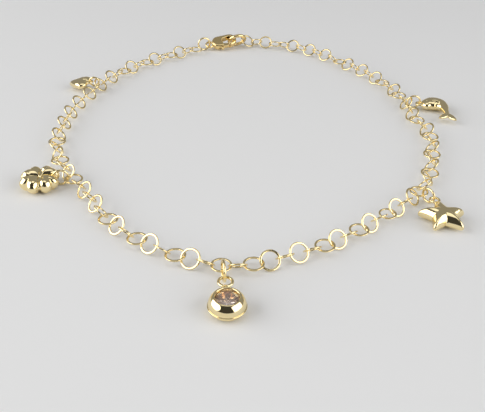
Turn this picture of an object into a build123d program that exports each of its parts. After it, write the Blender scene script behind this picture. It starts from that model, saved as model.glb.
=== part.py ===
from math import cos, pi, radians, sin, sqrt
import os
from build123d import *

# A charm anklet laid out as a closed loop on a flat surface. Millimetres, +Z up.
# The loop is laid out about a rough centre first. The last step moves the whole of it so that the
# middle of its box stands over the origin, with its lowest wire at Z = 0.

# Chain: round wire rings, linked through each other, nearly pulled straight.
wire = 0.28
large_ring = 3.22          # outside diameters
small_ring = 2.92
lean = 46.0                # how far a leaning link turns about the chain's line
clearance = 0.14           # air between two wires that would touch when pulled
end_height = 1.0           # of the chain's two ends

# Rings at the two ends: outside diameter, wire.
end_ring_size = (4.8, 0.80)
end_jump_size = (3.6, 0.34)
clasp_jump_size = (3.3, 0.40)
charm_wire = 0.40          # wire of the jump rings and eyelets that hold the charms

# Lobster claw, eye at the left, hook at the right, flat in its own XY plane.
claw_length = 7.9
claw_thickness = 1.5
claw_half_width = 1.65
eye_radius = 1.08
eye_hole_radius = 0.74
eye_thickness = 0.65
throat_radius = 0.92
lever_gap = 0.12
pin_radius = 0.18
edge_round = 0.40

# Charms.
star_tip_radius, star_inner_radius, star_half_height = 4.3, 2.05, 1.3
heart_width, heart_length, heart_half_height = 4.9, 4.7, 1.0
leaf_width, leaf_length, leaf_half_height, leaf_reach = 2.95, 2.95, 1.40, 1.80
setting_rim_radius, setting_top_radius, setting_height = 2.7, 1.90, 2.6
setting_seam = -0.50       # height of the thin seam, from the middle
stone_radius, stone_gap = 1.60, 0.06
table_radius, girdle_depth, pavilion_depth = 0.92, 0.44, 1.05
drop_reach = 4.66          # from the eyelet to the drop's middle
drop_bearing = -85.0
drop_lift = 0.12           # the drop hangs a little clear of the surface
eyelet_radius = 0.76       # middle of the wire, star, clover and dolphin
drop_eyelet_radius = 0.98
drop_eyelet_height = -0.15 # from the drop's middle
heart_eyelet_radius = 0.64
heart_bearing = 168.0      # from the eyelet to the tip
heart_drop_angle = 14.0    # its lobes are held up by the chain, and its tip is down

# Where the three large charms lie. Columns: x, y, height of the middle, turn about the upright.
charm_places = {
    "star": (29.5, -26.0, 1.3, 94),
    "clover": (-37.5, -18.97, 1.4, 10),
    "dolphin": (37.1, 15.95, 1.15, 0),
}

# How the fastening lies, in degrees unless a length is named.
fastening_bearing = 17.7   # from the chain's last link to its first
end_ring_lean = 50.0       # the thick ring's inner edge is up
end_jump_lean = 30.0
claw_roll, claw_rise = 26.0, 7.0
held_at = 6.17             # where the thick ring's wire passes the claw, from the eye's end
clasp_jump_turn = 2.0     # about the upright, out of line with the claw

# The middle of the chain's line, clockwise seen from above, from the end ring to the clasp.
route = [
    (-1.6, 49.5), (9.0, 46.7), (16.8, 40.9), (24.0, 32.5), (28.7, 24.7), (30.9, 16.9), (31.5, 10.2),
    (33.2, 2.6), (32.2, -4.8), (30.2, -12.6), (26.2, -20.0), (20.2, -26.2), (12.4, -33.0), (3.9, -38.1),
    (-5.3, -40.3), (-15.0, -36.8), (-22.9, -30.6), (-28.3, -22.9), (-32.8, -16.4), (-36.9, -8.0),
    (-37.7, 1.5), (-36.9, 10.8), (-34.9, 17.6), (-31.7, 26.2), (-24.2, 36.0), (-14.30, 44.05),
]

# How the links lie. N and n are large links, S and s small ones. N and S have their outer edge up,
# n and s their inner edge up. F is a large link lying flat, and f a small one.
stretches = [
    ("end ring to dolphin", "sNFsNsNsNsFNsNsNFsNFsN"),
    ("dolphin to star", "sNFsNFsNFsNFsNF"),
    ("star to drop", "nSnfSnFSnFSnSnFSF"),
    ("drop to clover", "SnFSnFSnFSnSnSF"),
    ("clover to heart", "sNFsNFNsNsNsNsNsNsN"),
    ("heart to clasp", "sFNsFNsFNsF"),
]
link_forms = {
    "F": (large_ring, 0.0), "f": (small_ring, 0.0),
    "N": (large_ring, lean), "n": (large_ring, -lean),
    "S": (small_ring, lean), "s": (small_ring, -lean),
}


def joint_height(first, second):
    # Height at which two neighbouring links hook into each other.
    pair = {first.upper(), second.upper()}
    if pair == {"N", "S"}:
        return 1.40
    if pair == {"F", "N"}:
        return 1.14
    return 1.06


def ring(centre, along, roll, size):
    # A wire ring whose plane holds the line along, turned about that line by roll.
    outside, thickness = size
    along = along.normalized()
    side = Vector(0, 0, 1).cross(along).normalized()
    across = side * cos(radians(roll)) + along.cross(side) * sin(radians(roll))
    plane = Plane(origin=centre, x_dir=along, z_dir=along.cross(across))
    return plane * Torus((outside - thickness) / 2, thickness / 2)


def link_lengths(pattern, heights, inset):
    # Distance along the line of each joint, for links pulled to this inset of their joints.
    joints = [0.0]
    for kind, start, end in zip(pattern, heights, heights[1:]):
        reach = link_forms[kind][0] - wire - 2 * inset
        joints.append(joints[-1] + sqrt(reach**2 - (end - start) ** 2))
    return joints


def chain_links():
    # Centre, direction, roll and size of every link, hung joint to joint along the route.
    line = Spline(*[Vector(x, y, 0) for x, y in route])
    pattern = "".join(links for name, links in stretches)
    heights = [joint_height(a, b) for a, b in zip(pattern, pattern[1:])]
    heights = [end_height] + heights + [end_height]
    inset = (wire + clearance) / 2
    pulled = link_lengths(pattern, heights, inset)
    slack = (pulled[-1] - line.length) / len(pattern)
    print("links", len(pattern), "line", round(line.length, 1), "slack", round(slack, 3))
    joints = []
    for distance, height in zip(link_lengths(pattern, heights, inset + slack / 2), heights):
        point = line.position_at(min(distance / line.length, 1.0))
        joints.append(Vector(point.X, point.Y, height))
    links = []
    for kind, start, end in zip(pattern, joints, joints[1:]):
        outside, roll = link_forms[kind]
        links.append(((start + end) * 0.5, end - start, roll, (outside, wire)))
    return links


def hull_of(*circles):
    # Outline drawn tightly round circles given as x, y, radius.
    edges = [edge for x, y, radius in circles for edge in (Pos(x, y) * Circle(radius)).edges()]
    return make_hull(edges)


def slab(outline, thickness):
    return extrude(outline, thickness / 2, both=True)


# Lobster claw, in its own frame: the eye's end at X = 0, the lever on the -Y side.
claw_outer_radius = claw_half_width + 0.05
hook_centre = claw_length - claw_outer_radius
throat_end = hook_centre - 0.05
lower_wall, wall_reach = -1.6, 2.0   # middle and depth of the wall that the lever stands in for
mouth_start = 4.35                   # the body's lower wall ends here, and the lever closes the mouth
pivot = Vector(3.45, -1.02, 0)
lever_tip = 5.60
lever_thickness = 0.76
knuckle_radius = 0.52
lever_swing = 18.0                   # inwards, in degrees
claw_outline = hull_of((2.4, 0, 0.80), (3.4, 0, claw_half_width), (hook_centre, 0, claw_outer_radius))
throat_outline = hull_of((4.85, 0.02, 0.72), (throat_end, 0, throat_radius))


def claw_band():
    band = slab(claw_outline, claw_thickness)
    band = fillet(band.edges().group_by(Axis.Z)[0] + band.edges().group_by(Axis.Z)[-1], edge_round)
    return band - slab(throat_outline, claw_thickness * 2)


def lever_region(gap):
    # The stretch of the band that the lever takes up, and its knuckle round the pin.
    low, high = pivot.X, lever_tip + gap
    strip = Pos((low + high) / 2, lower_wall) * Rectangle(high - low, wall_reach + 2 * gap)
    return strip + Pos(pivot.X, pivot.Y) * Circle(knuckle_radius + gap)


def clasp_body():
    # The slot between the cheeks leaves room for the lever over its whole swing.
    band = claw_band()
    slot = slab(lever_region(lever_gap), lever_thickness + 2 * lever_gap)
    for turn in (0, lever_swing / 2, lever_swing):
        band -= slot.rotate(Axis(pivot, (0, 0, 1)), turn)
    mouth_end = lever_tip + lever_gap
    mouth = Rectangle(mouth_end - mouth_start, wall_reach + 0.4)
    band -= slab(Pos((mouth_start + mouth_end) / 2, lower_wall) * mouth, claw_thickness * 2)
    pin = Pos(pivot) * Cylinder(pin_radius, claw_thickness - 0.3)
    eye = Pos(eye_radius, 0, 0) * Cylinder(eye_radius, eye_thickness)
    eye = fillet(eye.edges(), 0.3)
    hole = Pos(eye_radius, 0, 0) * Cylinder(eye_hole_radius, claw_thickness * 2)
    return band + pin + eye - hole


def clasp_lever():
    lever = claw_band() & slab(lever_region(0), lever_thickness)
    nub = Pos(pivot.X + 0.55, pivot.Y - 0.85, 0) * Cylinder(0.34, lever_thickness)
    lever += fillet(nub.edges(), 0.15)
    return lever - Pos(pivot) * Cylinder(pin_radius + lever_gap, claw_thickness * 2)


def scaled_loft(outline, sections):
    # A puffed form: one outline repeated at each height, larger in the middle than at the faces.
    return loft([Pos(0, 0, height) * scale(outline, by=factor) for height, factor in sections], ruled=True)


def puffed(outline, half_height):
    # Columns: share of the half height, share of the outline.
    sections = [(1.0, 0.32), (0.86, 0.66), (0.55, 0.90), (0.0, 1.0)]
    lower = [(-half_height * height, factor) for height, factor in sections]
    upper = [(half_height * height, factor) for height, factor in sections[-2::-1]]
    return scaled_loft(outline, lower + upper)


def star_outline():
    tips = [(star_tip_radius, 72 * k) for k in range(5)]
    hollows = [(star_inner_radius, 72 * k + 36) for k in range(5)]
    corners = [corner for pair in zip(tips, hollows) for corner in pair]
    star = make_face(Polyline(*[Vector(r, 0).rotate(Axis.Z, angle) for r, angle in corners], close=True))
    tip_corners = [v for v in star.vertices() if Vector(*v).length > star_tip_radius - 0.1]
    return fillet(tip_corners, 0.42)


def star():
    return puffed(star_outline(), star_half_height)


def heart_outline(width, length):
    # The notch towards +X, the tip towards -X.
    radius = width / 4
    lobe_x = length / 2 - radius
    tip = (-length / 2, 0)
    shoulder = (lobe_x, radius * 2)
    upper = ThreePointArc((lobe_x + radius * 0.35, 0), (lobe_x + radius * 0.8, radius * 1.6), shoulder)
    side = ThreePointArc(shoulder, (lobe_x - radius * 1.25, radius * 1.35), tip)
    lower, lower_side = mirror(upper, Plane.XZ), mirror(side, Plane.XZ)
    return make_face([*upper.edges(), *side.edges(), *lower_side.edges(), *lower.edges()])


def clover():
    # Four heart-shaped leaves, tips together, with a dimple where they meet.
    body = Cylinder(leaf_reach * 0.75, leaf_half_height * 1.1)
    for quarter in range(4):
        leaf = Pos(leaf_reach, 0, 0) * puffed(heart_outline(leaf_width, leaf_length), leaf_half_height)
        body += Rot(0, 0, 45 + 90 * quarter) * leaf
    return body


# Dolphin, nose towards -X and tail round to -Y, lying on its side.
# Columns: x, y along the middle of the body, half width, half thickness.
dolphin_body = [
    (-2.65, -0.95, 0.35, 0.30), (-2.35, -0.60, 0.95, 0.70), (-1.60, -0.10, 1.60, 1.02),
    (-0.30, 0.20, 2.05, 1.15), (1.00, -0.30, 1.75, 1.12), (1.75, -1.75, 1.20, 0.92),
    (1.90, -3.50, 0.70, 0.64), (1.70, -5.20, 0.46, 0.44),
]
fluke_root = Pos(1.62, -5.40, 0) * Rot(0, 0, -14)
fluke_thickness = 0.60


def dolphin():
    line = Spline(*[Vector(x, y, 0) for x, y, width, depth in dolphin_body])
    sections = []
    for x, y, half_width, half_depth in dolphin_body:
        way = line.tangent_at(line.param_at_point(Vector(x, y, 0)))
        across = Plane(origin=(x, y, 0), x_dir=Vector(0, 0, 1).cross(way), z_dir=way)
        sections.append(across * Ellipse(half_width, half_depth))
    body = loft(sections)
    for side in (-1, 1):
        blade = Polyline((0, 0.40), (side * 0.70, -0.15), (side * 1.75, -1.70), (side * 0.85, -1.60),
                         (0, -1.05), close=True)
        body += fluke_root * slab(make_face(blade), fluke_thickness)
    return body


def setting_profile():
    # Half section of the round setting: flat foot, steep domes, thin seam at the rim, seat for the stone.
    middle = setting_height / 2
    low, high = setting_seam - 0.11, setting_seam + 0.11
    rim_radius, shoulder = setting_rim_radius, setting_rim_radius - 0.16
    seat = stone_radius + stone_gap
    lower = ThreePointArc((1.75, -middle), (2.30, -middle * 0.78), (shoulder, low))
    rim = Polyline((shoulder, low), (rim_radius, low), (rim_radius, high), (shoulder, high))
    upper = ThreePointArc((shoulder, high), (2.47, middle * 0.46), (setting_top_radius, middle))
    pocket = Polyline((setting_top_radius, middle), (seat, middle), (seat, middle - girdle_depth - 0.16),
                      (0, -middle * 0.55), (0, -middle), (1.75, -middle))
    return Plane.XZ * make_face([*lower.edges(), *rim.edges(), *upper.edges(), *pocket.edges()])


def facet(*corners):
    return Face(Wire.make_polygon([Vector(*corner) for corner in corners], close=True))


def brilliant():
    # Round cut: eight-sided table, star and kite facets, sixteen-sided girdle, pavilion to a point.
    def circle_of(radius, height, count, start=0.0):
        angles = [start + 2 * pi * k / count for k in range(count)]
        return [(radius * cos(a), radius * sin(a), height) for a in angles]
    table = circle_of(table_radius, girdle_depth - 0.04, 8)
    upper = circle_of(stone_radius, 0.04, 16)
    lower = circle_of(stone_radius, -0.04, 16)
    culet = (0, 0, -pavilion_depth)
    facets = [facet(*table)]
    for k in range(8):
        near, after = table[k], table[(k + 1) % 8]
        before, here, half = upper[2 * k - 1], upper[2 * k], upper[2 * k + 1]
        facets += [facet(near, half, after), facet(near, before, here), facet(near, here, half)]
    for k in range(16):
        nxt = (k + 1) % 16
        facets += [facet(upper[k], lower[k], lower[nxt], upper[nxt]), facet(lower[k], culet, lower[nxt])]
    return Solid(Shell(facets))


# Where each charm hangs. Columns: link that carries it, bearing from that link, jump ring's outside
# diameter, then the distance and height of the jump ring's centre and of the eyelet's.
hangers = {
    "drop": (53, -79.3, 3.4, 2.12, 1.75, 3.94, 1.15),
    "star": (36, -53.8, 2.8, 2.06, 1.45, 3.44, 1.30),
    "clover": (68, 190.0, 3.0, 2.06, 1.55, 3.57, 1.30),
    "dolphin": (21, 3.0, 3.0, 1.54, 1.78, 2.92, 1.35),
    "heart": (85, 182.0, 2.3, 1.28, 2.10, 2.34, 1.98),
}


def away(bearing):
    return Vector(cos(radians(bearing)), sin(radians(bearing)), 0)


def jump_ring(name, links):
    link, bearing, outside, distance, height, eyelet_distance, eyelet_height = hangers[name]
    foot = Vector(links[link][0].X, links[link][0].Y, 0)
    centre = foot + away(bearing) * distance + Vector(0, 0, height)
    return ring(centre, away(bearing), 90, (outside, charm_wire))


def eyelet_place(name, links):
    link, bearing, outside, distance, height, eyelet_distance, eyelet_height = hangers[name]
    foot = Vector(links[link][0].X, links[link][0].Y, 0)
    return foot + away(bearing) * eyelet_distance + Vector(0, 0, eyelet_height)


def eyelet(radius=eyelet_radius):
    return Torus(radius, charm_wire / 2)


def lying(name, form):
    x, y, height, turn = charm_places[name]
    return Pos(x, y, height) * Rot(0, 0, turn) * form


def star_charm(links):
    return lying("star", star()) + Pos(eyelet_place("star", links)) * eyelet()


def clover_charm(links):
    return lying("clover", clover()) + Pos(eyelet_place("clover", links)) * eyelet()


def dolphin_charm(links):
    return lying("dolphin", dolphin()) + Pos(eyelet_place("dolphin", links)) * Rot(0, 0, 180) * eyelet()


def heart_charm(links):
    form = puffed(heart_outline(heart_width, heart_length), heart_half_height)
    heart = Pos(-heart_length / 2 - 0.15, 0, 0) * form + eyelet(heart_eyelet_radius)
    return Pos(eyelet_place("heart", links)) * Rot(0, 0, heart_bearing - 180) * Rot(0, -heart_drop_angle, 0) * heart


def drop_place(links):
    held = eyelet_place("drop", links)
    middle = Vector(held.X, held.Y, setting_height / 2 + drop_lift) + away(drop_bearing) * drop_reach
    return Pos(middle) * Rot(0, 0, drop_bearing)


def drop_setting(links):
    body = revolve(setting_profile(), Axis.Z)
    holder = Pos(-drop_reach, 0, drop_eyelet_height) * eyelet(drop_eyelet_radius)
    neck_start, neck_end = setting_rim_radius - 0.35, drop_reach - drop_eyelet_radius + 0.2
    neck = Pos(-(neck_start + neck_end) / 2, 0, drop_eyelet_height) * Box(neck_end - neck_start, 0.9, 0.5)
    return drop_place(links) * (body + holder + neck)


def drop_stone(links):
    return drop_place(links) * Pos(0, 0, setting_height / 2 - girdle_depth) * brilliant()


def between(first, second):
    # From the point where two wires hook into each other to the middle of either wire.
    return ((first + second) / 2 + clearance) / 2


def mean_radius(size):
    return (size[0] - size[1]) / 2


def end_rings(start, along):
    # The thin ring on the chain's first link, sloping up to the thick ring that leans over it.
    lean_radius = mean_radius(end_ring_size)
    height = lean_radius * sin(radians(end_ring_lean)) + end_ring_size[1] / 2
    chain_inset = between(end_jump_size[1], wire) + 0.07
    ring_inset = between(end_jump_size[1], end_ring_size[1]) + 0.03
    reach = 2 * mean_radius(end_jump_size) - chain_inset - ring_inset
    rise = height - start.Z
    hooked = start - along * sqrt(reach**2 - rise**2) + Vector(0, 0, rise)
    slope = (start - hooked).normalized()
    thin_centre = start - slope * (mean_radius(end_jump_size) - chain_inset)
    thick_centre = hooked - along * (lean_radius - ring_inset)
    thin = ring(thin_centre, slope, end_jump_lean, end_jump_size)
    thick = ring(thick_centre, along, -end_ring_lean, end_ring_size)
    return thin, thick, thick_centre - along * lean_radius


def claw_plane(held, along):
    # The claw hooked round the thick ring at held, sloping down to its eye.
    up = Vector(0, 0, 1)
    rise, roll = radians(claw_rise), radians(claw_roll)
    way = along * cos(rise) + up * sin(rise)
    side = up.cross(along)
    across = side * cos(roll) + way.cross(side) * sin(roll)
    return Plane(origin=held - way * held_at - up * 0.05, x_dir=way, z_dir=way.cross(across))


def clasp_jump_ring(eye, along):
    # Upright, resting on the surface, through the claw's eye.
    radius = mean_radius(clasp_jump_size)
    height = radius + clasp_jump_size[1] / 2 + 0.02
    half = sqrt(radius**2 - (height - eye.Z) ** 2)
    way = along.rotate(Axis.Z, clasp_jump_turn)
    foot = Vector(eye.X, eye.Y, 0)
    return ring(foot + Vector(0, 0, height) - way * half, way, 90, clasp_jump_size)


def build():
    links = chain_links()
    start = Vector(*route[0], end_height)
    along = away(fastening_bearing)
    thin, thick, held = end_rings(start, along)
    claw = claw_plane(held, along)
    eye = claw.from_local_coords(Vector(eye_radius, 0, 0))
    nodes = {
        "chain": Compound([ring(*link) for link in links]),
        "clasp_body": claw * clasp_body(),
        "clasp_lever": claw * clasp_lever(),
        "clasp_jump_ring": clasp_jump_ring(eye, along),
        "end_ring": thick,
        "end_jump_ring": thin,
        "drop_setting": drop_setting(links),
        "drop_stone": drop_stone(links),
        "star_charm": star_charm(links),
        "dolphin_charm": dolphin_charm(links),
        "heart_charm": heart_charm(links),
        "clover_charm": clover_charm(links),
    }
    for name in hangers:
        nodes[name + "_jump_ring"] = jump_ring(name, links)
    return nodes, claw


# The box is centred over the origin, and each node is written at its place.
nodes, claw = build()
box = Compound(list(nodes.values())).bounding_box()
shift = Vector(-(box.min.X + box.max.X) / 2, -(box.min.Y + box.max.Y) / 2, -box.min.Z)
print("moved by", round(shift.X, 3), round(shift.Y, 3), round(shift.Z, 3))
hinge = claw.from_local_coords(pivot) + shift
print("lever's hinge", [round(v, 3) for v in hinge], "axis", [round(v, 4) for v in claw.z_dir])
os.makedirs("parts", exist_ok=True)
for name, shape in nodes.items():
    export_step(Pos(shift) * shape, f"parts/{name}.step")
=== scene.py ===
import math

import bmesh
import bpy
import numpy as np
from mathutils import Matrix, Vector


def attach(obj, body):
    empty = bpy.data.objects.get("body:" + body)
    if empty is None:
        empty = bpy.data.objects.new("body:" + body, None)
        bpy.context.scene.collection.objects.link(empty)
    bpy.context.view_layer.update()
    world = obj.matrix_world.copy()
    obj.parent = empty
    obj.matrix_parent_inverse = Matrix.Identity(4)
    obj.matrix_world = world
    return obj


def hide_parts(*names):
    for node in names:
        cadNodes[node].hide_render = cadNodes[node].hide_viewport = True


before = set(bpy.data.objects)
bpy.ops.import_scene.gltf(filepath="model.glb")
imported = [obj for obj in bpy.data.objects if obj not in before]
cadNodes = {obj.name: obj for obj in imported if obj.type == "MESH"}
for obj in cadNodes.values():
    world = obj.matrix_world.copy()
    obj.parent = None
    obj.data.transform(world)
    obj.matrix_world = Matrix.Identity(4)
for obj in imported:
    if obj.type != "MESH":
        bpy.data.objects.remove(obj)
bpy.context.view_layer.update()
mm = 0.001   # pieces are made in millimetres and brought to metres at the end
print("frame loaded:", len(cadNodes), "nodes")


# Camera, floor and light

cameraSettings = {
    "place": (-2.16, -116.28, 62.50),   # mm
    "pitch": 33.80,                     # degrees below the horizon
    "lean": 1.857,                      # degrees, the upright leans to the right
    "lens": 50.69,
    "sensorWidth": 36,
    "clip": (0.005, 20),                # metres
}

softboxes = {
    # name: shape, azimuth from the camera's side, elevation, distance, width, height, radiance
    "leftSoftbox": ("ELLIPSE", -76, 23, 0.60, 0.86, 0.60, 2.15),
    "rightSoftbox": ("RECTANGLE", 66, 24, 0.60, 0.68, 0.52, 2.15),
    "overheadSoftbox": ("RECTANGLE", 0, 84, 0.60, 0.52, 0.36, 0.92),
}

roomSettings = {
    "frontGrey": 0.05,            # the dark side, where the camera stands
    "backGrey": 0.28,
    "greyFrom": (-0.55, 0.15),    # where the grey starts and ends, from front to back
}

floorSettings = {
    "size": 3.0,                  # metres
    "colour": (0.866, 0.866, 0.865),
    "roughness": 0.75,
    "specular": 0.2,
}


def addCamera(settings):
    data = bpy.data.cameras.new("camera")
    data.lens = settings["lens"]
    data.sensor_width = settings["sensorWidth"]
    data.clip_start, data.clip_end = settings["clip"]
    camera = bpy.data.objects.new("camera", data)
    bpy.context.scene.collection.objects.link(camera)
    tilt = Matrix.Rotation(math.radians(90 - settings["pitch"]), 4, "X")
    lean = Matrix.Rotation(math.radians(settings["lean"]), 4, "Z")
    camera.matrix_world = Matrix.Translation(Vector(settings["place"]) * mm) @ tilt @ lean
    bpy.context.scene.camera = camera


def addSoftboxes(boxes):
    for name, (shape, azimuth, elevation, distance, width, height, radiance) in boxes.items():
        light = bpy.data.lights.new(name, "AREA")
        light.shape = shape
        light.size = width
        light.size_y = height
        light.energy = radiance * math.pi * width * height
        box = bpy.data.objects.new(name, light)
        bpy.context.scene.collection.objects.link(box)
        around, up = math.radians(azimuth), math.radians(elevation)
        way = Vector((math.sin(around) * math.cos(up), -math.cos(around) * math.cos(up), math.sin(up)))
        aim = way.to_track_quat("Z", "Y").to_matrix().to_4x4()
        box.matrix_world = Matrix.Translation(way * distance) @ aim


def addRoom(settings):
    world = bpy.data.worlds.new("room")
    bpy.context.scene.world = world
    world.use_nodes = True
    tree = world.node_tree
    background = tree.nodes["Background"]
    coordinates = tree.nodes.new("ShaderNodeTexCoord")
    split = tree.nodes.new("ShaderNodeSeparateXYZ")
    grey = tree.nodes.new("ShaderNodeMapRange")
    grey.interpolation_type = "SMOOTHSTEP"
    grey.inputs["From Min"].default_value = settings["greyFrom"][0]
    grey.inputs["From Max"].default_value = settings["greyFrom"][1]
    grey.inputs["To Min"].default_value = settings["frontGrey"]
    grey.inputs["To Max"].default_value = settings["backGrey"]
    tree.links.new(coordinates.outputs["Generated"], split.inputs[0])
    tree.links.new(split.outputs["Y"], grey.inputs["Value"])
    tree.links.new(grey.outputs["Result"], background.inputs["Color"])


def addFloor(settings):
    half = settings["size"] / 2
    corners = [(-half, -half, 0), (half, -half, 0), (half, half, 0), (-half, half, 0)]
    mesh = bpy.data.meshes.new("floor")
    mesh.from_pydata(corners, [], [(0, 1, 2, 3)])
    floor = bpy.data.objects.new("floor", mesh)
    bpy.context.scene.collection.objects.link(floor)
    paper = bpy.data.materials.new("floorPaper")
    paper.use_nodes = True
    shader = paper.node_tree.nodes["Principled BSDF"]
    shader.inputs["Base Color"].default_value = (*settings["colour"], 1)
    shader.inputs["Roughness"].default_value = settings["roughness"]
    shader.inputs["Specular IOR Level"].default_value = settings["specular"]
    mesh.materials.append(paper)


addCamera(cameraSettings)
addSoftboxes(softboxes)
addRoom(roomSettings)
addFloor(floorSettings)
bpy.context.scene.view_settings.view_transform = "Standard"
print("camera, floor and light placed")


# Finishes

def newGroup(name, inputs, outputs):
    group = bpy.data.node_groups.new(name, "ShaderNodeTree")
    for label, kind, value in inputs:
        socket = group.interface.new_socket(label, in_out="INPUT", socket_type=kind)
        socket.default_value = value
    for label, kind in outputs:
        group.interface.new_socket(label, in_out="OUTPUT", socket_type=kind)
    return group, group.nodes.new("NodeGroupInput"), group.nodes.new("NodeGroupOutput")


polishMarks = {
    "toneScale": 0.45,              # slow changes of tone, for each mm
    "toneDetail": 2,
    "stretch": (1.0, 0.16, 0.5),    # rubbing marks run long one way
    "tilt": (0.3, 0.2, 0.9),
    "markDetail": 5,
    "markRoughness": 0.6,
    "markRange": (0.35, 0.70),      # the noise that becomes smoothest and roughest
    "markHeight": 0.06,             # of the marks, beside the soft waves
    "waveScale": 0.9,
    "waveDetail": 1,
}


def makePolishGroup(values):
    # Fine rubbing marks, a soft waviness and slow changes of tone, as on polished gold.
    group, ins, outs = newGroup(
        "polish",
        [("Grain per mm", "NodeSocketFloat", 4.0),
         ("Light tone", "NodeSocketColor", (0.9, 0.7, 0.4, 1)),
         ("Deep tone", "NodeSocketColor", (0.8, 0.6, 0.3, 1)),
         ("Smoothest", "NodeSocketFloat", 0.05),
         ("Roughest", "NodeSocketFloat", 0.15)],
        [("Colour", "NodeSocketColor"), ("Roughness", "NodeSocketFloat"), ("Height", "NodeSocketFloat")])
    add, link = group.nodes.new, group.links.new
    place = add("ShaderNodeTexCoord")
    inMm = add("ShaderNodeVectorMath")
    inMm.operation = "SCALE"
    inMm.inputs["Scale"].default_value = 1 / mm
    link(place.outputs["Object"], inMm.inputs[0])
    tone = add("ShaderNodeTexNoise")
    tone.inputs["Scale"].default_value = values["toneScale"]
    tone.inputs["Detail"].default_value = values["toneDetail"]
    link(inMm.outputs[0], tone.inputs["Vector"])
    mix = add("ShaderNodeMix")
    mix.data_type = "RGBA"
    link(tone.outputs["Fac"], mix.inputs["Factor"])
    link(ins.outputs["Light tone"], mix.inputs["A"])
    link(ins.outputs["Deep tone"], mix.inputs["B"])
    link(mix.outputs["Result"], outs.inputs["Colour"])
    stretched = add("ShaderNodeMapping")
    stretched.inputs["Scale"].default_value = values["stretch"]
    stretched.inputs["Rotation"].default_value = values["tilt"]
    link(inMm.outputs[0], stretched.inputs["Vector"])
    rubbed = add("ShaderNodeTexNoise")
    rubbed.inputs["Detail"].default_value = values["markDetail"]
    rubbed.inputs["Roughness"].default_value = values["markRoughness"]
    link(ins.outputs["Grain per mm"], rubbed.inputs["Scale"])
    link(stretched.outputs[0], rubbed.inputs["Vector"])
    spread = add("ShaderNodeMapRange")
    spread.inputs["From Min"].default_value = values["markRange"][0]
    spread.inputs["From Max"].default_value = values["markRange"][1]
    link(rubbed.outputs["Fac"], spread.inputs["Value"])
    link(ins.outputs["Smoothest"], spread.inputs["To Min"])
    link(ins.outputs["Roughest"], spread.inputs["To Max"])
    link(spread.outputs["Result"], outs.inputs["Roughness"])
    wave = add("ShaderNodeTexNoise")
    wave.inputs["Scale"].default_value = values["waveScale"]
    wave.inputs["Detail"].default_value = values["waveDetail"]
    link(inMm.outputs[0], wave.inputs["Vector"])
    height = add("ShaderNodeMath")
    height.operation = "MULTIPLY_ADD"
    height.inputs[1].default_value = values["markHeight"]
    link(rubbed.outputs["Fac"], height.inputs[0])
    link(wave.outputs["Fac"], height.inputs[2])
    link(height.outputs[0], outs.inputs["Height"])
    return group


polish = makePolishGroup(polishMarks)

goldFinishes = {
    # name: light tone, deep tone, grain per mm, smoothest, roughest, waviness in mm
    "wireGold": ((0.97, 0.82, 0.48), (0.92, 0.74, 0.39), 9.0, 0.06, 0.16, 0.015),
    "charmGold": ((0.97, 0.83, 0.50), (0.94, 0.77, 0.42), 5.0, 0.025, 0.08, 0.012),
    "claspGold": ((0.97, 0.78, 0.41), (0.91, 0.68, 0.31), 8.0, 0.05, 0.14, 0.007),
}

crystalFinish = {
    "transmission": 0.84,
    "ior": 1.62,
    "marks": ((1.00, 0.96, 0.95), (0.90, 0.57, 0.38), 2.0, 0.0, 0.02),   # as the first five of a gold
}


def polishedMaterial(name, lightTone, deepTone, grain, smoothest, roughest):
    # The principled shader with the polish group's colour and roughness, and the group to add to.
    material = bpy.data.materials.new(name)
    material.use_nodes = True
    nodes, links = material.node_tree.nodes, material.node_tree.links
    shader = nodes["Principled BSDF"]
    marks = nodes.new("ShaderNodeGroup")
    marks.node_tree = polish
    marks.inputs["Grain per mm"].default_value = grain
    marks.inputs["Light tone"].default_value = (*lightTone, 1)
    marks.inputs["Deep tone"].default_value = (*deepTone, 1)
    marks.inputs["Smoothest"].default_value = smoothest
    marks.inputs["Roughest"].default_value = roughest
    links.new(marks.outputs["Colour"], shader.inputs["Base Color"])
    links.new(marks.outputs["Roughness"], shader.inputs["Roughness"])
    return material, shader, marks


def makeGold(name):
    *look, waviness = goldFinishes[name]
    material, shader, marks = polishedMaterial(name, *look)
    shader.inputs["Metallic"].default_value = 1.0
    links = material.node_tree.links
    bump = material.node_tree.nodes.new("ShaderNodeBump")
    bump.inputs["Strength"].default_value = 1.0
    bump.inputs["Distance"].default_value = waviness * mm
    links.new(marks.outputs["Height"], bump.inputs["Height"])
    links.new(bump.outputs["Normal"], shader.inputs["Normal"])
    return material


def makeCrystal(finish):
    # Clear champagne stone with a trace of haze inside the facets.
    material, shader = polishedMaterial("crystal", *finish["marks"])[:2]
    shader.inputs["Transmission Weight"].default_value = finish["transmission"]
    shader.inputs["IOR"].default_value = finish["ior"]
    return material


materials = {name: makeGold(name) for name in goldFinishes}
materials["crystal"] = makeCrystal(crystalFinish)
print("finishes made:", len(materials))


# Shared making

def newPiece(name, mesh):
    piece = bpy.data.objects.new(name, mesh)
    bpy.context.scene.collection.objects.link(piece)
    return piece


def coat(piece, finish):
    piece.data.materials.clear()
    piece.data.materials.append(materials[finish])


def finishPiece(piece, body, replaced):
    # From millimetres to metres, then set on its body, with the CAD node it stands for hidden.
    piece.data.transform(Matrix.Scale(mm, 4))
    piece.data.update()
    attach(piece, body)
    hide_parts(replaced)


def baked(piece):
    # The piece's modifiers become its mesh.
    bpy.context.view_layer.update()
    evaluated = piece.evaluated_get(bpy.context.evaluated_depsgraph_get())
    mesh = bpy.data.meshes.new_from_object(evaluated)
    old = piece.data
    piece.modifiers.clear()
    piece.data = mesh
    bpy.data.meshes.remove(old)
    mesh.name = piece.name


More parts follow.
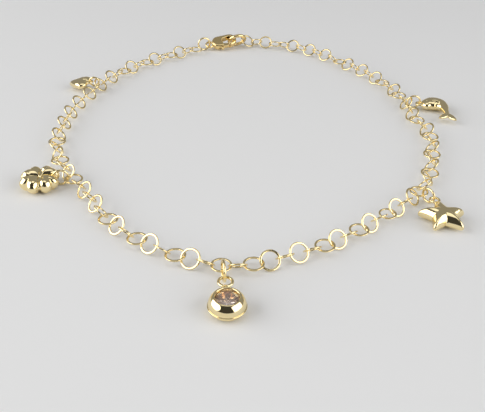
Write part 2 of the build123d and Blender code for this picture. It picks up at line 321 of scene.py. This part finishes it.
def ringsOf(nodeName):
    # Centre, normal and outer radius of each separate ring in a CAD node, in millimetres.
    mesh = cadNodes[nodeName].data
    points = np.empty(len(mesh.vertices) * 3, np.float32)
    mesh.vertices.foreach_get("co", points)
    corners = np.empty(len(mesh.loops), np.int32)
    mesh.loops.foreach_get("vertex_index", corners)
    spots, same = np.unique(np.round(points.reshape(-1, 3) / mm, 3), axis=0, return_inverse=True)
    faces = same.reshape(-1)[corners].reshape(-1, 3)
    labels = np.arange(len(spots))
    while True:
        lowest = labels[faces].min(1)
        spread = labels.copy()
        for corner in range(3):
            np.minimum.at(spread, faces[:, corner], lowest)
        spread = spread[spread]
        if (spread == labels).all():
            break
        labels = spread
    rings = []
    for label in np.unique(labels):
        cloud = spots[labels == label].astype(float)
        centre = (cloud.max(0) + cloud.min(0)) / 2
        axes = np.linalg.svd(cloud - centre, full_matrices=False)[2]
        normal = axes[2] if axes[2][2] >= 0 else -axes[2]
        radius = np.linalg.norm(cloud - centre, axis=1).max()
        rings.append((Vector(centre), Vector(normal), float(radius)))
    return rings


# Wire rings: the links, the jump rings and the end ring

ringInputs = [
    # name, kind and plain value, where the ring's outer radius is 1
    ("Wire width", "NodeSocketFloat", 0.2),
    ("Wire height", "NodeSocketFloat", 0.2),
    ("Corner", "NodeSocketFloat", 0.05),
    ("Corner steps", "NodeSocketInt", 3),
    ("Wobble", "NodeSocketFloat", 0.0),
    ("Wobble scale", "NodeSocketFloat", 1.4),
    ("Around", "NodeSocketInt", 36),
    ("Open", "NodeSocketBool", False),
    ("Gap", "NodeSocketFloat", 0.02),      # radians
    ("Seed", "NodeSocketInt", 1),
]


def makeRingTree():
    tree = bpy.data.node_groups.new("wireRings", "GeometryNodeTree")
    face = tree.interface
    face.new_socket("Geometry", in_out="INPUT", socket_type="NodeSocketGeometry")
    for label, kind, value in ringInputs:
        face.new_socket(label, in_out="INPUT", socket_type=kind).default_value = value
    face.new_socket("Metal", in_out="INPUT", socket_type="NodeSocketMaterial")
    face.new_socket("Geometry", in_out="OUTPUT", socket_type="NodeSocketGeometry")
    add, link = tree.nodes.new, tree.links.new
    ins, outs = add("NodeGroupInput"), add("NodeGroupOutput")

    def maths(operation, first, second):
        node = add("ShaderNodeMath")
        node.operation = operation
        for socket, value in zip(node.inputs, (first, second)):
            if isinstance(value, (int, float)):
                socket.default_value = value
            else:
                link(value, socket)
        return node.outputs[0]

    # The middle of the wire: a ring of outer radius 1, whole or with a hairline cut.
    middle = maths("SUBTRACT", 1.0, maths("MULTIPLY", ins.outputs["Wire width"], 0.5))
    whole = add("GeometryNodeCurvePrimitiveCircle")
    link(middle, whole.inputs["Radius"])
    link(ins.outputs["Around"], whole.inputs["Resolution"])
    cut = add("GeometryNodeCurveArc")
    link(middle, cut.inputs["Radius"])
    link(ins.outputs["Around"], cut.inputs["Resolution"])
    link(maths("SUBTRACT", 2 * math.pi, ins.outputs["Gap"]), cut.inputs["Sweep Angle"])
    pick = add("GeometryNodeSwitch")
    pick.input_type = "GEOMETRY"
    link(ins.outputs["Open"], pick.inputs["Switch"])
    link(whole.outputs["Curve"], pick.inputs["False"])
    link(cut.outputs["Curve"], pick.inputs["True"])
    upright = add("GeometryNodeSetCurveNormal")
    upright.mode = "Z_UP"
    link(pick.outputs[0], upright.inputs["Curve"])
    noise = add("ShaderNodeTexNoise")
    link(ins.outputs["Wobble scale"], noise.inputs["Scale"])
    link(add("GeometryNodeInputPosition").outputs[0], noise.inputs["Vector"])
    wobble = maths("MULTIPLY", maths("SUBTRACT", noise.outputs["Fac"], 0.5), ins.outputs["Wobble"])
    thickness = add("GeometryNodeSetCurveRadius")
    link(upright.outputs["Curve"], thickness.inputs["Curve"])
    link(maths("ADD", wobble, 1.0), thickness.inputs["Radius"])

    # The wire's section, a rectangle with rounded corners.
    section = add("GeometryNodeCurvePrimitiveQuadrilateral")
    link(ins.outputs["Wire width"], section.inputs["Width"])
    link(ins.outputs["Wire height"], section.inputs["Height"])
    rounded = add("GeometryNodeFilletCurve")
    rounded.mode = "POLY"
    rounded.inputs["Limit Radius"].default_value = True
    link(ins.outputs["Corner steps"], rounded.inputs["Count"])
    link(section.outputs["Curve"], rounded.inputs["Curve"])
    link(ins.outputs["Corner"], rounded.inputs["Radius"])
    wire = add("GeometryNodeCurveToMesh")
    wire.inputs["Fill Caps"].default_value = True
    link(thickness.outputs["Curve"], wire.inputs["Curve"])
    link(rounded.outputs["Curve"], wire.inputs["Profile Curve"])
    smooth = add("GeometryNodeSetShadeSmooth")
    link(wire.outputs["Mesh"], smooth.inputs["Geometry"])

    # One ring at each point, turned as its attribute says, with its joint anywhere round it.
    turn = add("GeometryNodeInputNamedAttribute")
    turn.data_type = "FLOAT_VECTOR"
    turn.inputs["Name"].default_value = "turn"
    size = add("GeometryNodeInputNamedAttribute")
    size.data_type = "FLOAT"
    size.inputs["Name"].default_value = "size"
    place = add("GeometryNodeInstanceOnPoints")
    link(ins.outputs["Geometry"], place.inputs["Points"])
    link(smooth.outputs["Geometry"], place.inputs["Instance"])
    link(turn.outputs["Attribute"], place.inputs["Rotation"])
    link(size.outputs["Attribute"], place.inputs["Scale"])
    anyAngle = add("FunctionNodeRandomValue")
    anyAngle.data_type = "FLOAT_VECTOR"
    anyAngle.inputs["Min"].default_value = (0, 0, 0)
    anyAngle.inputs["Max"].default_value = (0, 0, 2 * math.pi)
    link(ins.outputs["Seed"], anyAngle.inputs["Seed"])
    spin = add("GeometryNodeRotateInstances")
    link(place.outputs["Instances"], spin.inputs["Instances"])
    link(anyAngle.outputs[0], spin.inputs["Rotation"])
    real = add("GeometryNodeRealizeInstances")
    link(spin.outputs["Instances"], real.inputs["Geometry"])
    metal = add("GeometryNodeSetMaterial")
    link(real.outputs["Geometry"], metal.inputs["Geometry"])
    link(ins.outputs["Metal"], metal.inputs["Material"])
    link(metal.outputs["Geometry"], outs.inputs["Geometry"])
    return tree


ringTree = makeRingTree()

jumpRing = (0.40, 0.40, 0.19, 0.03, 56, True, "gold_wire", "wireGold")
ringPieces = {
    # piece: CAD node, wire width and height in mm, corner, wobble, segments, cut, slot, finish
    "chainLinks": ("chain", 0.34, 0.25, 0.10, 0.10, 36, False, "gold_wire", "wireGold"),
    "endRing": ("end_ring", 0.80, 0.74, 0.33, 0.02, 64, False, "gold_clasp", "claspGold"),
    "endJumpRing": ("end_jump_ring", 0.38, 0.30, 0.13, 0.04, 56, True, "gold_wire", "wireGold"),
    "claspJumpRing": ("clasp_jump_ring", *jumpRing),
    "dropJumpRing": ("drop_jump_ring", *jumpRing),
    "starJumpRing": ("star_jump_ring", *jumpRing),
    "cloverJumpRing": ("clover_jump_ring", *jumpRing),
    "dolphinJumpRing": ("dolphin_jump_ring", *jumpRing),
    "heartJumpRing": ("heart_jump_ring", *jumpRing),
}
ringCut = 0.03      # radians, the hairline where a jump ring's ends meet
firstSeed = 3


def makeRings(name, seed):
    node, width, height, corner, wobble, around, isCut, slot, finish = ringPieces[name]
    rings = ringsOf(node)
    typical = sum(radius for centre, normal, radius in rings) / len(rings)
    mesh = bpy.data.meshes.new(name)
    mesh.from_pydata([centre for centre, normal, radius in rings], [], [])
    turns = [Vector((0, 0, 1)).rotation_difference(normal).to_euler() for centre, normal, radius in rings]
    mesh.attributes.new("turn", "FLOAT_VECTOR", "POINT")
    mesh.attributes["turn"].data.foreach_set("vector", [angle for turn in turns for angle in turn])
    mesh.attributes.new("size", "FLOAT", "POINT")
    mesh.attributes["size"].data.foreach_set("value", [radius for centre, normal, radius in rings])
    piece = newPiece(name, mesh)
    modifier = piece.modifiers.new("rings", "NODES")
    modifier.node_group = ringTree
    values = {label: value for label, kind, value in ringInputs}
    values.update({
        "Wire width": width / typical, "Wire height": height / typical, "Corner": corner / typical,
        "Wobble": wobble, "Around": around, "Open": isCut, "Gap": ringCut, "Seed": seed,
        "Metal": materials[finish],
    })
    for item in ringTree.interface.items_tree:
        if item.item_type == "SOCKET" and item.in_out == "INPUT" and item.name in values:
            modifier[item.identifier] = values[item.name]
    baked(piece)
    finishPiece(piece, "anklet", node)
    print(name, "made:", len(rings), "rings,", len(piece.data.polygons), "faces")


for seed, name in enumerate(ringPieces, firstSeed):
    makeRings(name, seed)


# Cast charms

eyeletShape = {"wire": 0.44, "around": 48, "sides": 16}
castValues = {"voxel": 0.06, "soften": 0.5}    # mm, and the share of each smoothing round


def arcThrough(first, middle, last, steps):
    # Points along the circle's arc through three points, the last one left out.
    (ax, ay), (bx, by), (cx, cy) = first, middle, last
    turn = 2 * (ax * (by - cy) + bx * (cy - ay) + cx * (ay - by))    # its sign is the arc's direction
    aa, bb, cc = ax * ax + ay * ay, bx * bx + by * by, cx * cx + cy * cy
    x0 = (aa * (by - cy) + bb * (cy - ay) + cc * (ay - by)) / turn
    y0 = (aa * (cx - bx) + bb * (ax - cx) + cc * (bx - ax)) / turn
    radius = math.hypot(ax - x0, ay - y0)
    start, end = math.atan2(ay - y0, ax - x0), math.atan2(cy - y0, cx - x0)
    if turn < 0:
        sweep = -((start - end) % (2 * math.pi))
    else:
        sweep = (end - start) % (2 * math.pi)
    angles = [start + sweep * k / steps for k in range(steps)]
    return [(x0 + radius * math.cos(angle), y0 + radius * math.sin(angle)) for angle in angles]


def roundedCorners(corners, radius, steps):
    # A closed outline with each corner turned as an arc.
    outline = []
    for k, corner in enumerate(corners):
        here = Vector(corner)
        back = (Vector(corners[k - 1]) - here).normalized()
        ahead = (Vector(corners[(k + 1) % len(corners)]) - here).normalized()
        half = back.angle(ahead) / 2
        reach = radius / math.tan(half)
        centre = here + (back + ahead).normalized() * radius / math.sin(half)
        start, end = here + back * reach, here + ahead * reach
        for step in range(steps + 1):
            mixed = (start - centre).lerp(end - centre, step / steps)
            outline.append(tuple(centre + mixed.normalized() * radius))
    return outline


def puffedMesh(outline, values):
    # A pillow: the outline shrinks towards the middle as it rises, and as it goes down.
    above, below, power, rings = (values[key] for key in ("above", "below", "power", "rings"))
    shape = bmesh.new()
    sides = len(outline)
    shares = [math.sin(math.pi / 2 * (k + 1) / rings) for k in range(rings)]
    rows = []
    for share, height in [(s, above) for s in shares] + [(s, -below) for s in shares[-2::-1]]:
        z = height * math.sqrt(max(0.0, 1 - share**power))
        rows.append([shape.verts.new((x * share, y * share, z)) for x, y in outline])
    for first, second in zip(rows, rows[1:]):
        for k in range(sides):
            n = (k + 1) % sides
            shape.faces.new((first[k], second[k], second[n], first[n]))
    for row, z in ((rows[0], above), (rows[-1], -below)):
        pole = shape.verts.new((0, 0, z))
        for k in range(sides):
            shape.faces.new((row[k], row[(k + 1) % sides], pole))
    bmesh.ops.recalc_face_normals(shape, faces=shape.faces)
    return shape


def tubeRing(radius):
    wire, around, sides = eyeletShape["wire"], eyeletShape["around"], eyeletShape["sides"]
    shape = bmesh.new()
    rows = []
    for k in range(around):
        a = 2 * math.pi * k / around
        row = []
        for j in range(sides):
            b = 2 * math.pi * j / sides
            reach = radius + wire / 2 * math.cos(b)
            row.append(shape.verts.new((reach * math.cos(a), reach * math.sin(a), wire / 2 * math.sin(b))))
        rows.append(row)
    for k in range(around):
        here, after = rows[k], rows[(k + 1) % around]
        for j in range(sides):
            n = (j + 1) % sides
            shape.faces.new((here[j], after[j], after[n], here[n]))
    bmesh.ops.recalc_face_normals(shape, faces=shape.faces)
    return shape


def joined(name, shapes):
    # Several shapes, each with its own place, in one mesh.
    whole = bmesh.new()
    for shape, place in shapes:
        shape.transform(place)
        part = bpy.data.meshes.new("part")
        shape.to_mesh(part)
        shape.free()
        whole.from_mesh(part)
        bpy.data.meshes.remove(part)
    mesh = bpy.data.meshes.new(name)
    whole.to_mesh(mesh)
    whole.free()
    return mesh


def castPiece(name, shapes, voxel, smoothing, finish):
    # The shapes are fused into one skin and smoothed, as metal is cast in one mould.
    piece = newPiece(name, joined(name, shapes))
    remesh = piece.modifiers.new("fuse", "REMESH")
    remesh.mode = "VOXEL"
    remesh.voxel_size = voxel
    remesh.use_smooth_shade = True
    soften = piece.modifiers.new("soften", "SMOOTH")
    soften.factor = castValues["soften"]
    soften.iterations = smoothing
    baked(piece)
    coat(piece, finish)
    piece.data.shade_smooth()
    return piece


def turned(angle, axis="Z"):
    return Matrix.Rotation(math.radians(angle), 4, axis)


def moved(*place):
    return Matrix.Translation(Vector(place))


shift = Vector((0.537, 0.323, 0.03))   # from the loop's rough centre to the frame's origin

starValues = {
    "tips": 5, "tip": 4.45, "hollow": 2.05,      # how many, and the radii outside and between them
    "corner": 0.30, "cornerSteps": 7,
    "above": 1.85, "below": 0.75, "power": 2.1, "rings": 20, "smoothing": 6,
    "place": (29.5, -26.0, 0.75), "turn": 94, "eyelet": (29.05, -21.60, 1.30), "eyeletRadius": 0.76,
}


def starOutline(values):
    corners = []
    for k in range(2 * values["tips"]):
        radius = values["hollow"] if k % 2 else values["tip"]
        angle = math.pi * k / values["tips"]
        corners.append((radius * math.cos(angle), radius * math.sin(angle)))
    return roundedCorners(corners, values["corner"], values["cornerSteps"])


def eyeletOf(values):
    return tubeRing(values["eyeletRadius"]), moved(*values["eyelet"])


def finishCharm(name, shapes, values, node):
    piece = castPiece(name, shapes, castValues["voxel"], values["smoothing"], "charmGold")
    piece.data.transform(Matrix.Translation(shift))
    finishPiece(piece, "anklet", node)
    print(name, "made:", len(piece.data.polygons), "faces")


def makeStar(values):
    place = moved(*values["place"]) @ turned(values["turn"])
    shapes = [(puffedMesh(starOutline(values), values), place), eyeletOf(values)]
    finishCharm("starCharm", shapes, values, "star_charm")


makeStar(starValues)


def ball(x, y, z):
    shape = bmesh.new()
    bmesh.ops.create_uvsphere(shape, u_segments=40, v_segments=24, radius=1)
    shape.transform(Matrix.Diagonal((x, y, z, 1)))
    return shape


def smoothLine(rows, steps):
    # Every column of the rows runs as a smooth curve through its own values.
    values = [Vector(row) for row in rows]
    line = []
    for k in range(len(values) - 1):
        before, here = values[max(k - 1, 0)], values[k]
        after, beyond = values[k + 1], values[min(k + 2, len(values) - 1)]
        for step in range(steps):
            t = step / steps
            line.append(0.5 * (2 * here + (after - before) * t
                               + (2 * before - 5 * here + 4 * after - beyond) * t**2
                               + (3 * here - before - 3 * after + beyond) * t**3))
    return line + [values[-1]]


def bodyAlong(rows, steps=10, sides=36):
    # A closed body round a line in the XY plane. Columns: x, y, half width, half thickness.
    line = smoothLine(rows, steps)
    shape = bmesh.new()
    loops = []
    for k, (x, y, width, depth) in enumerate(line):
        ahead, behind = line[min(k + 1, len(line) - 1)], line[max(k - 1, 0)]
        way = Vector((ahead[0] - behind[0], ahead[1] - behind[1])).normalized()
        loop = []
        for j in range(sides):
            a = 2 * math.pi * j / sides
            reach = width * math.cos(a)
            loop.append(shape.verts.new((x - way.y * reach, y + way.x * reach, depth * math.sin(a))))
        loops.append(loop)
    for first, second in zip(loops, loops[1:]):
        for j in range(sides):
            n = (j + 1) % sides
            shape.faces.new((first[j], second[j], second[n], first[n]))
    for row, entry in ((loops[0], line[0]), (loops[-1], line[-1])):
        pole = shape.verts.new((entry[0], entry[1], 0))
        for j in range(sides):
            shape.faces.new((row[j], row[(j + 1) % sides], pole))
    bmesh.ops.recalc_face_normals(shape, faces=shape.faces)
    return shape


dolphinValues = {
    # x, y, half width, half thickness from the nose to the root of the tail
    "body": [(-2.78, -1.32, 0.14, 0.14), (-2.62, -1.22, 0.52, 0.40), (-2.22, -0.98, 1.08, 0.82),
             (-1.55, -0.42, 1.56, 1.06), (-0.35, 0.02, 2.06, 1.20), (0.85, -0.40, 1.78, 1.16),
             (1.55, -1.70, 1.14, 0.95), (1.64, -3.40, 0.66, 0.66), (1.60, -5.00, 0.45, 0.46),
             (1.62, -5.60, 0.22, 0.24)],
    "fluke": [(0.05, 0.35, 0.36, 0.36), (0.50, -0.30, 0.64, 0.42), (1.00, -0.95, 0.60, 0.36),
              (1.48, -1.50, 0.34, 0.26), (1.72, -1.75, 0.10, 0.12)],
    "flukePlace": (1.62, -5.40, 0), "flukeTurn": -14,
    "fin": (1.05, 0.34, 0.30), "finPlace": (-0.20, -0.62, 1.02), "finTurn": -34,
    "eye": (0.15, 0.15, 0.10), "eyePlace": (-1.85, -0.55, 0.98),
    "backFin": (0.62, 0.50, 0.24), "backFinPlace": (-0.25, 1.92, 0.05), "backFinTurn": 150,
    "smoothing": 4, "place": (37.1, 16.05, 1.20), "eyelet": (33.93, 15.61, 1.35), "eyeletRadius": 0.76,
}


def makeDolphin(values):
    place = moved(*values["place"])
    fin = place @ moved(*values["finPlace"]) @ turned(values["finTurn"])
    backFin = place @ moved(*values["backFinPlace"]) @ turned(values["backFinTurn"])
    eye = place @ moved(*values["eyePlace"])
    shapes = [(bodyAlong(values["body"]), place), (ball(*values["fin"]), fin),
              (ball(*values["eye"]), eye), (ball(*values["backFin"]), backFin)]
    tail = place @ moved(*values["flukePlace"]) @ turned(values["flukeTurn"])
    for side in (-1, 1):
        rows = [(side * x, y, width, depth) for x, y, width, depth in values["fluke"]]
        shapes.append((bodyAlong(rows), tail))
    shapes.append(eyeletOf(values))
    finishCharm("dolphinCharm", shapes, values, "dolphin_charm")


makeDolphin(dolphinValues)


heartCurve = {
    # in radii of a lobe, along from the lobe's middle and out from the heart's axis
    "notch": 0.35,
    "crown": (0.80, 1.60),      # on the arc from the notch to the shoulder
    "flank": (-1.25, 1.35),     # on the arc from the shoulder to the tip
    "crownSteps": 28,
    "flankSteps": 36,
}

heartValues = {
    "width": 4.9, "length": 4.7, "above": 1.0, "below": 1.0, "power": 2.4, "rings": 20, "smoothing": 4,
    "dropAngle": 14, "bearing": 168, "eyelet": (-36.49, 19.80, 1.98), "eyeletRadius": 0.64,
    "lobeGap": 0.15,            # from the eyelet's middle to the lobes
}


def heartOutline(width, length):
    # The notch towards +X and the tip towards -X, as two arcs on each side.
    radius = width / 4
    lobe = length / 2 - radius
    notch, shoulder, tip = (lobe + radius * heartCurve["notch"], 0), (lobe, radius * 2), (-length / 2, 0)
    crown, flank = ((lobe + radius * x, radius * y) for x, y in (heartCurve["crown"], heartCurve["flank"]))
    half = arcThrough(notch, crown, shoulder, heartCurve["crownSteps"])
    half += arcThrough(shoulder, flank, tip, heartCurve["flankSteps"])
    return half + [tip] + [(x, -y) for x, y in half[:0:-1]]


def makeHeart(values):
    body = puffedMesh(heartOutline(values["width"], values["length"]), values)
    place = moved(*values["eyelet"]) @ turned(values["bearing"] - 180) @ turned(-values["dropAngle"], "Y")
    shapes = [(body, place @ moved(-values["length"] / 2 - values["lobeGap"], 0, 0)),
              (tubeRing(values["eyeletRadius"]), place)]
    finishCharm("heartCharm", shapes, values, "heart_charm")


makeHeart(heartValues)


cloverValues = {
    "leaf": (3.80, 3.40), "leafReach": 1.68, "above": 1.40, "below": 1.38, "power": 1.9, "rings": 16,
    "slimLeaf": (3.10, 3.20),        # width and length of the two leaves beside the eyelet
    "lobe": (1.12, 1.02, 1.30), "lobeReach": 2.10, "lobeSpread": 0.84,
    "web": (1.45, 0.72, 0.78), "webReach": 1.30,     # joins two leaves
    "middle": (1.10, 1.10, 0.40),    # fills the hollow where the leaves meet
    "smoothing": 5, "place": (-36.78, -19.38, 1.4), "turn": 10,
    "eyelet": (-35.01, -18.93, 1.30), "eyeletRadius": 0.76,
}


def makeClover(values):
    place = moved(*values["place"]) @ turned(values["turn"])
    shapes = [(ball(*values["middle"]), place)]
    eyeletSides = {0: -1, 3: 1}      # the leaves beside the eyelet have no lobe on its side
    for quarter in range(4):
        leaf = place @ turned(45 + 90 * quarter)
        outline = heartOutline(*values["slimLeaf" if quarter in eyeletSides else "leaf"])
        shapes.append((puffedMesh(outline, values), leaf @ moved(values["leafReach"], 0, 0)))
        for side in (-1, 1):
            if side != eyeletSides.get(quarter):
                lobe = leaf @ moved(values["lobeReach"], side * values["lobeSpread"], 0)
                shapes.append((ball(*values["lobe"]), lobe))
    for quarter in range(1, 4):
        web = place @ turned(90 * quarter) @ moved(values["webReach"], 0, 0)
        shapes.append((ball(*values["web"]), web))
    shapes.append(eyeletOf(values))
    finishCharm("cloverCharm", shapes, values, "clover_charm")


makeClover(cloverValues)


# Drop: the domed setting with its neck and eyelet

dropValues = {
    "rim": 2.70, "top": 1.90, "height": 2.60,
    "foot": (1.55, 1.75),            # radius of the flat foot, and where its curve starts
    "belly": (2.30, -0.78),          # a radius and its height, as a share of half the height
    "dome": (2.42, 0.50),
    "seam": -0.34, "seamHalf": 0.08, "seamStep": 0.10, "seamRound": 0.04,
    "lip": (0.06, 0.02),             # how far the lip's top is set in, and how far it stands up
    "seat": 1.66, "seatDepth": 0.60, "seatRound": 0.07,
    "floor": (0.08, 0.06),           # the seat's lower edge, turned in and down
    "well": (0.12, -0.50),           # the bottom under the stone, a radius and a share
    "around": 96, "bellySteps": 14, "domeSteps": 22, "sharpAngle": 50,
    "neck": (0.75, 0.46, 0.34), "neckReach": 0.30,
    "eyelet": (-4.714, -44.103), "eyeletRadius": 0.98, "eyeletHeight": -0.15,
    "reach": 4.66, "bearing": -85,   # from the eyelet's middle to the setting's, in degrees from +X
    "lift": 0.12,                    # of the foot above the floor, before the shift
}
fusedGap = 0.004    # mm, corners nearer than this are merged


def spun(profile, around):
    # A closed body: the profile of radius and height turned about the upright, its ends on the axis.
    shape = bmesh.new()
    columns = []
    for k in range(around):
        a = 2 * math.pi * k / around
        columns.append([shape.verts.new((r * math.cos(a), r * math.sin(a), z)) for r, z in profile[1:-1]])
    for k in range(around):
        here, after = columns[k], columns[(k + 1) % around]
        for j in range(len(here) - 1):
            shape.faces.new((here[j], after[j], after[j + 1], here[j + 1]))
    for z, end in ((profile[0][1], 0), (profile[-1][1], -1)):
        pole = shape.verts.new((0, 0, z))
        for k in range(around):
            shape.faces.new((columns[k][end], columns[(k + 1) % around][end], pole))
    bmesh.ops.recalc_face_normals(shape, faces=shape.faces)
    return shape


def settingProfile(values):
    # From the foot up over the seam and the dome to the lip, and down into the stone's seat.
    middle, rim, top, seat = values["height"] / 2, values["rim"], values["top"], values["seat"]
    low, high = values["seam"] - values["seamHalf"], values["seam"] + values["seamHalf"]
    shoulder, bevel = rim - values["seamStep"], values["seamRound"]
    flat, curve = values["foot"]
    setIn, standUp = values["lip"]
    turnIn, turnDown = values["floor"]
    floor = middle - values["seatDepth"]
    belly, dome, well = ((radius, middle * share)
                         for radius, share in (values["belly"], values["dome"], values["well"]))
    foot = [(0, -middle), (flat, -middle)]
    lower = arcThrough((curve, -middle), belly, (shoulder, low), values["bellySteps"])
    seam = [(shoulder, low), (rim - bevel, low), (rim, low + bevel),
            (rim, high - bevel), (rim - bevel, high)]
    upper = arcThrough((shoulder, high), dome, (top, middle), values["domeSteps"])
    lip = [(top, middle), (top - setIn, middle + standUp), (seat + setIn, middle)]
    hollow = [(seat, middle - values["seatRound"]), (seat, floor), (seat - turnIn, floor - turnDown),
              well, (0, well[1])]
    return foot + lower + seam + upper + lip + hollow


def fusedPiece(name, shapes, finish, sharpAngle):
    # The shapes joined into one body, with its sharp edges kept crisp.
    whole = newPiece(name, joined(name, shapes[:1]))
    for shape in shapes[1:]:
        tool = newPiece(name + "Tool", joined(name + "Tool", [shape]))
        fuse = whole.modifiers.new("fuse", "BOOLEAN")
        fuse.operation = "UNION"
        fuse.solver = "EXACT"
        fuse.object = tool
        baked(whole)
        bpy.data.objects.remove(tool)
    clean = bmesh.new()
    clean.from_mesh(whole.data)
    bmesh.ops.remove_doubles(clean, verts=clean.verts, dist=fusedGap)
    clean.to_mesh(whole.data)
    clean.free()
    coat(whole, finish)
    whole.data.shade_smooth()
    whole.data.set_sharp_from_angle(angle=math.radians(sharpAngle))
    return whole


def makeDrop(values):
    bearing = math.radians(values["bearing"])
    way = Vector((math.cos(bearing), math.sin(bearing), 0))
    middle = Vector((*values["eyelet"], values["height"] / 2 + values["lift"])) + way * values["reach"]
    place = moved(*(middle + shift)) @ turned(values["bearing"])
    neck = place @ moved(-values["rim"] - values["neckReach"], 0, values["eyeletHeight"])
    eyelet = place @ moved(-values["reach"], 0, values["eyeletHeight"])
    shapes = [(spun(settingProfile(values), values["around"]), place),
              (ball(*values["neck"]), neck),
              (tubeRing(values["eyeletRadius"]), eyelet)]
    piece = fusedPiece("dropSetting", shapes, "charmGold", values["sharpAngle"])
    finishPiece(piece, "anklet", "drop_setting")
    print("drop made:", len(piece.data.polygons), "faces")


makeDrop(dropValues)


# Clasp: the claw's body and its lever

copyGap = 0.002     # mm, corners nearer than this are merged


def mergedCopy(node):
    # The CAD solid's skin with its faces joined to each other, in millimetres.
    shape = bmesh.new()
    shape.from_mesh(cadNodes[node].data)
    shape.transform(Matrix.Scale(1 / mm, 4))
    bmesh.ops.remove_doubles(shape, verts=shape.verts, dist=copyGap)
    bmesh.ops.recalc_face_normals(shape, faces=shape.faces)
    return shape


claspPieces = {
    # piece: CAD node, body, voxel in mm, smoothing rounds
    "claspBody": ("clasp_body", "anklet", 0.045, 12),
    "claspLever": ("clasp_lever", "clasp_lever", 0.04, 6),
}
for name, (node, body, voxel, smoothing) in claspPieces.items():
    piece = castPiece(name, [(mergedCopy(node), Matrix.Identity(4))], voxel, smoothing, "claspGold")
    finishPiece(piece, body, node)
    print(name, "made:", len(piece.data.polygons), "faces")


# Stone, kept from the frame with its flat facets

stone = cadNodes["drop_stone"]
coat(stone, "crystal")
print("stone coated")
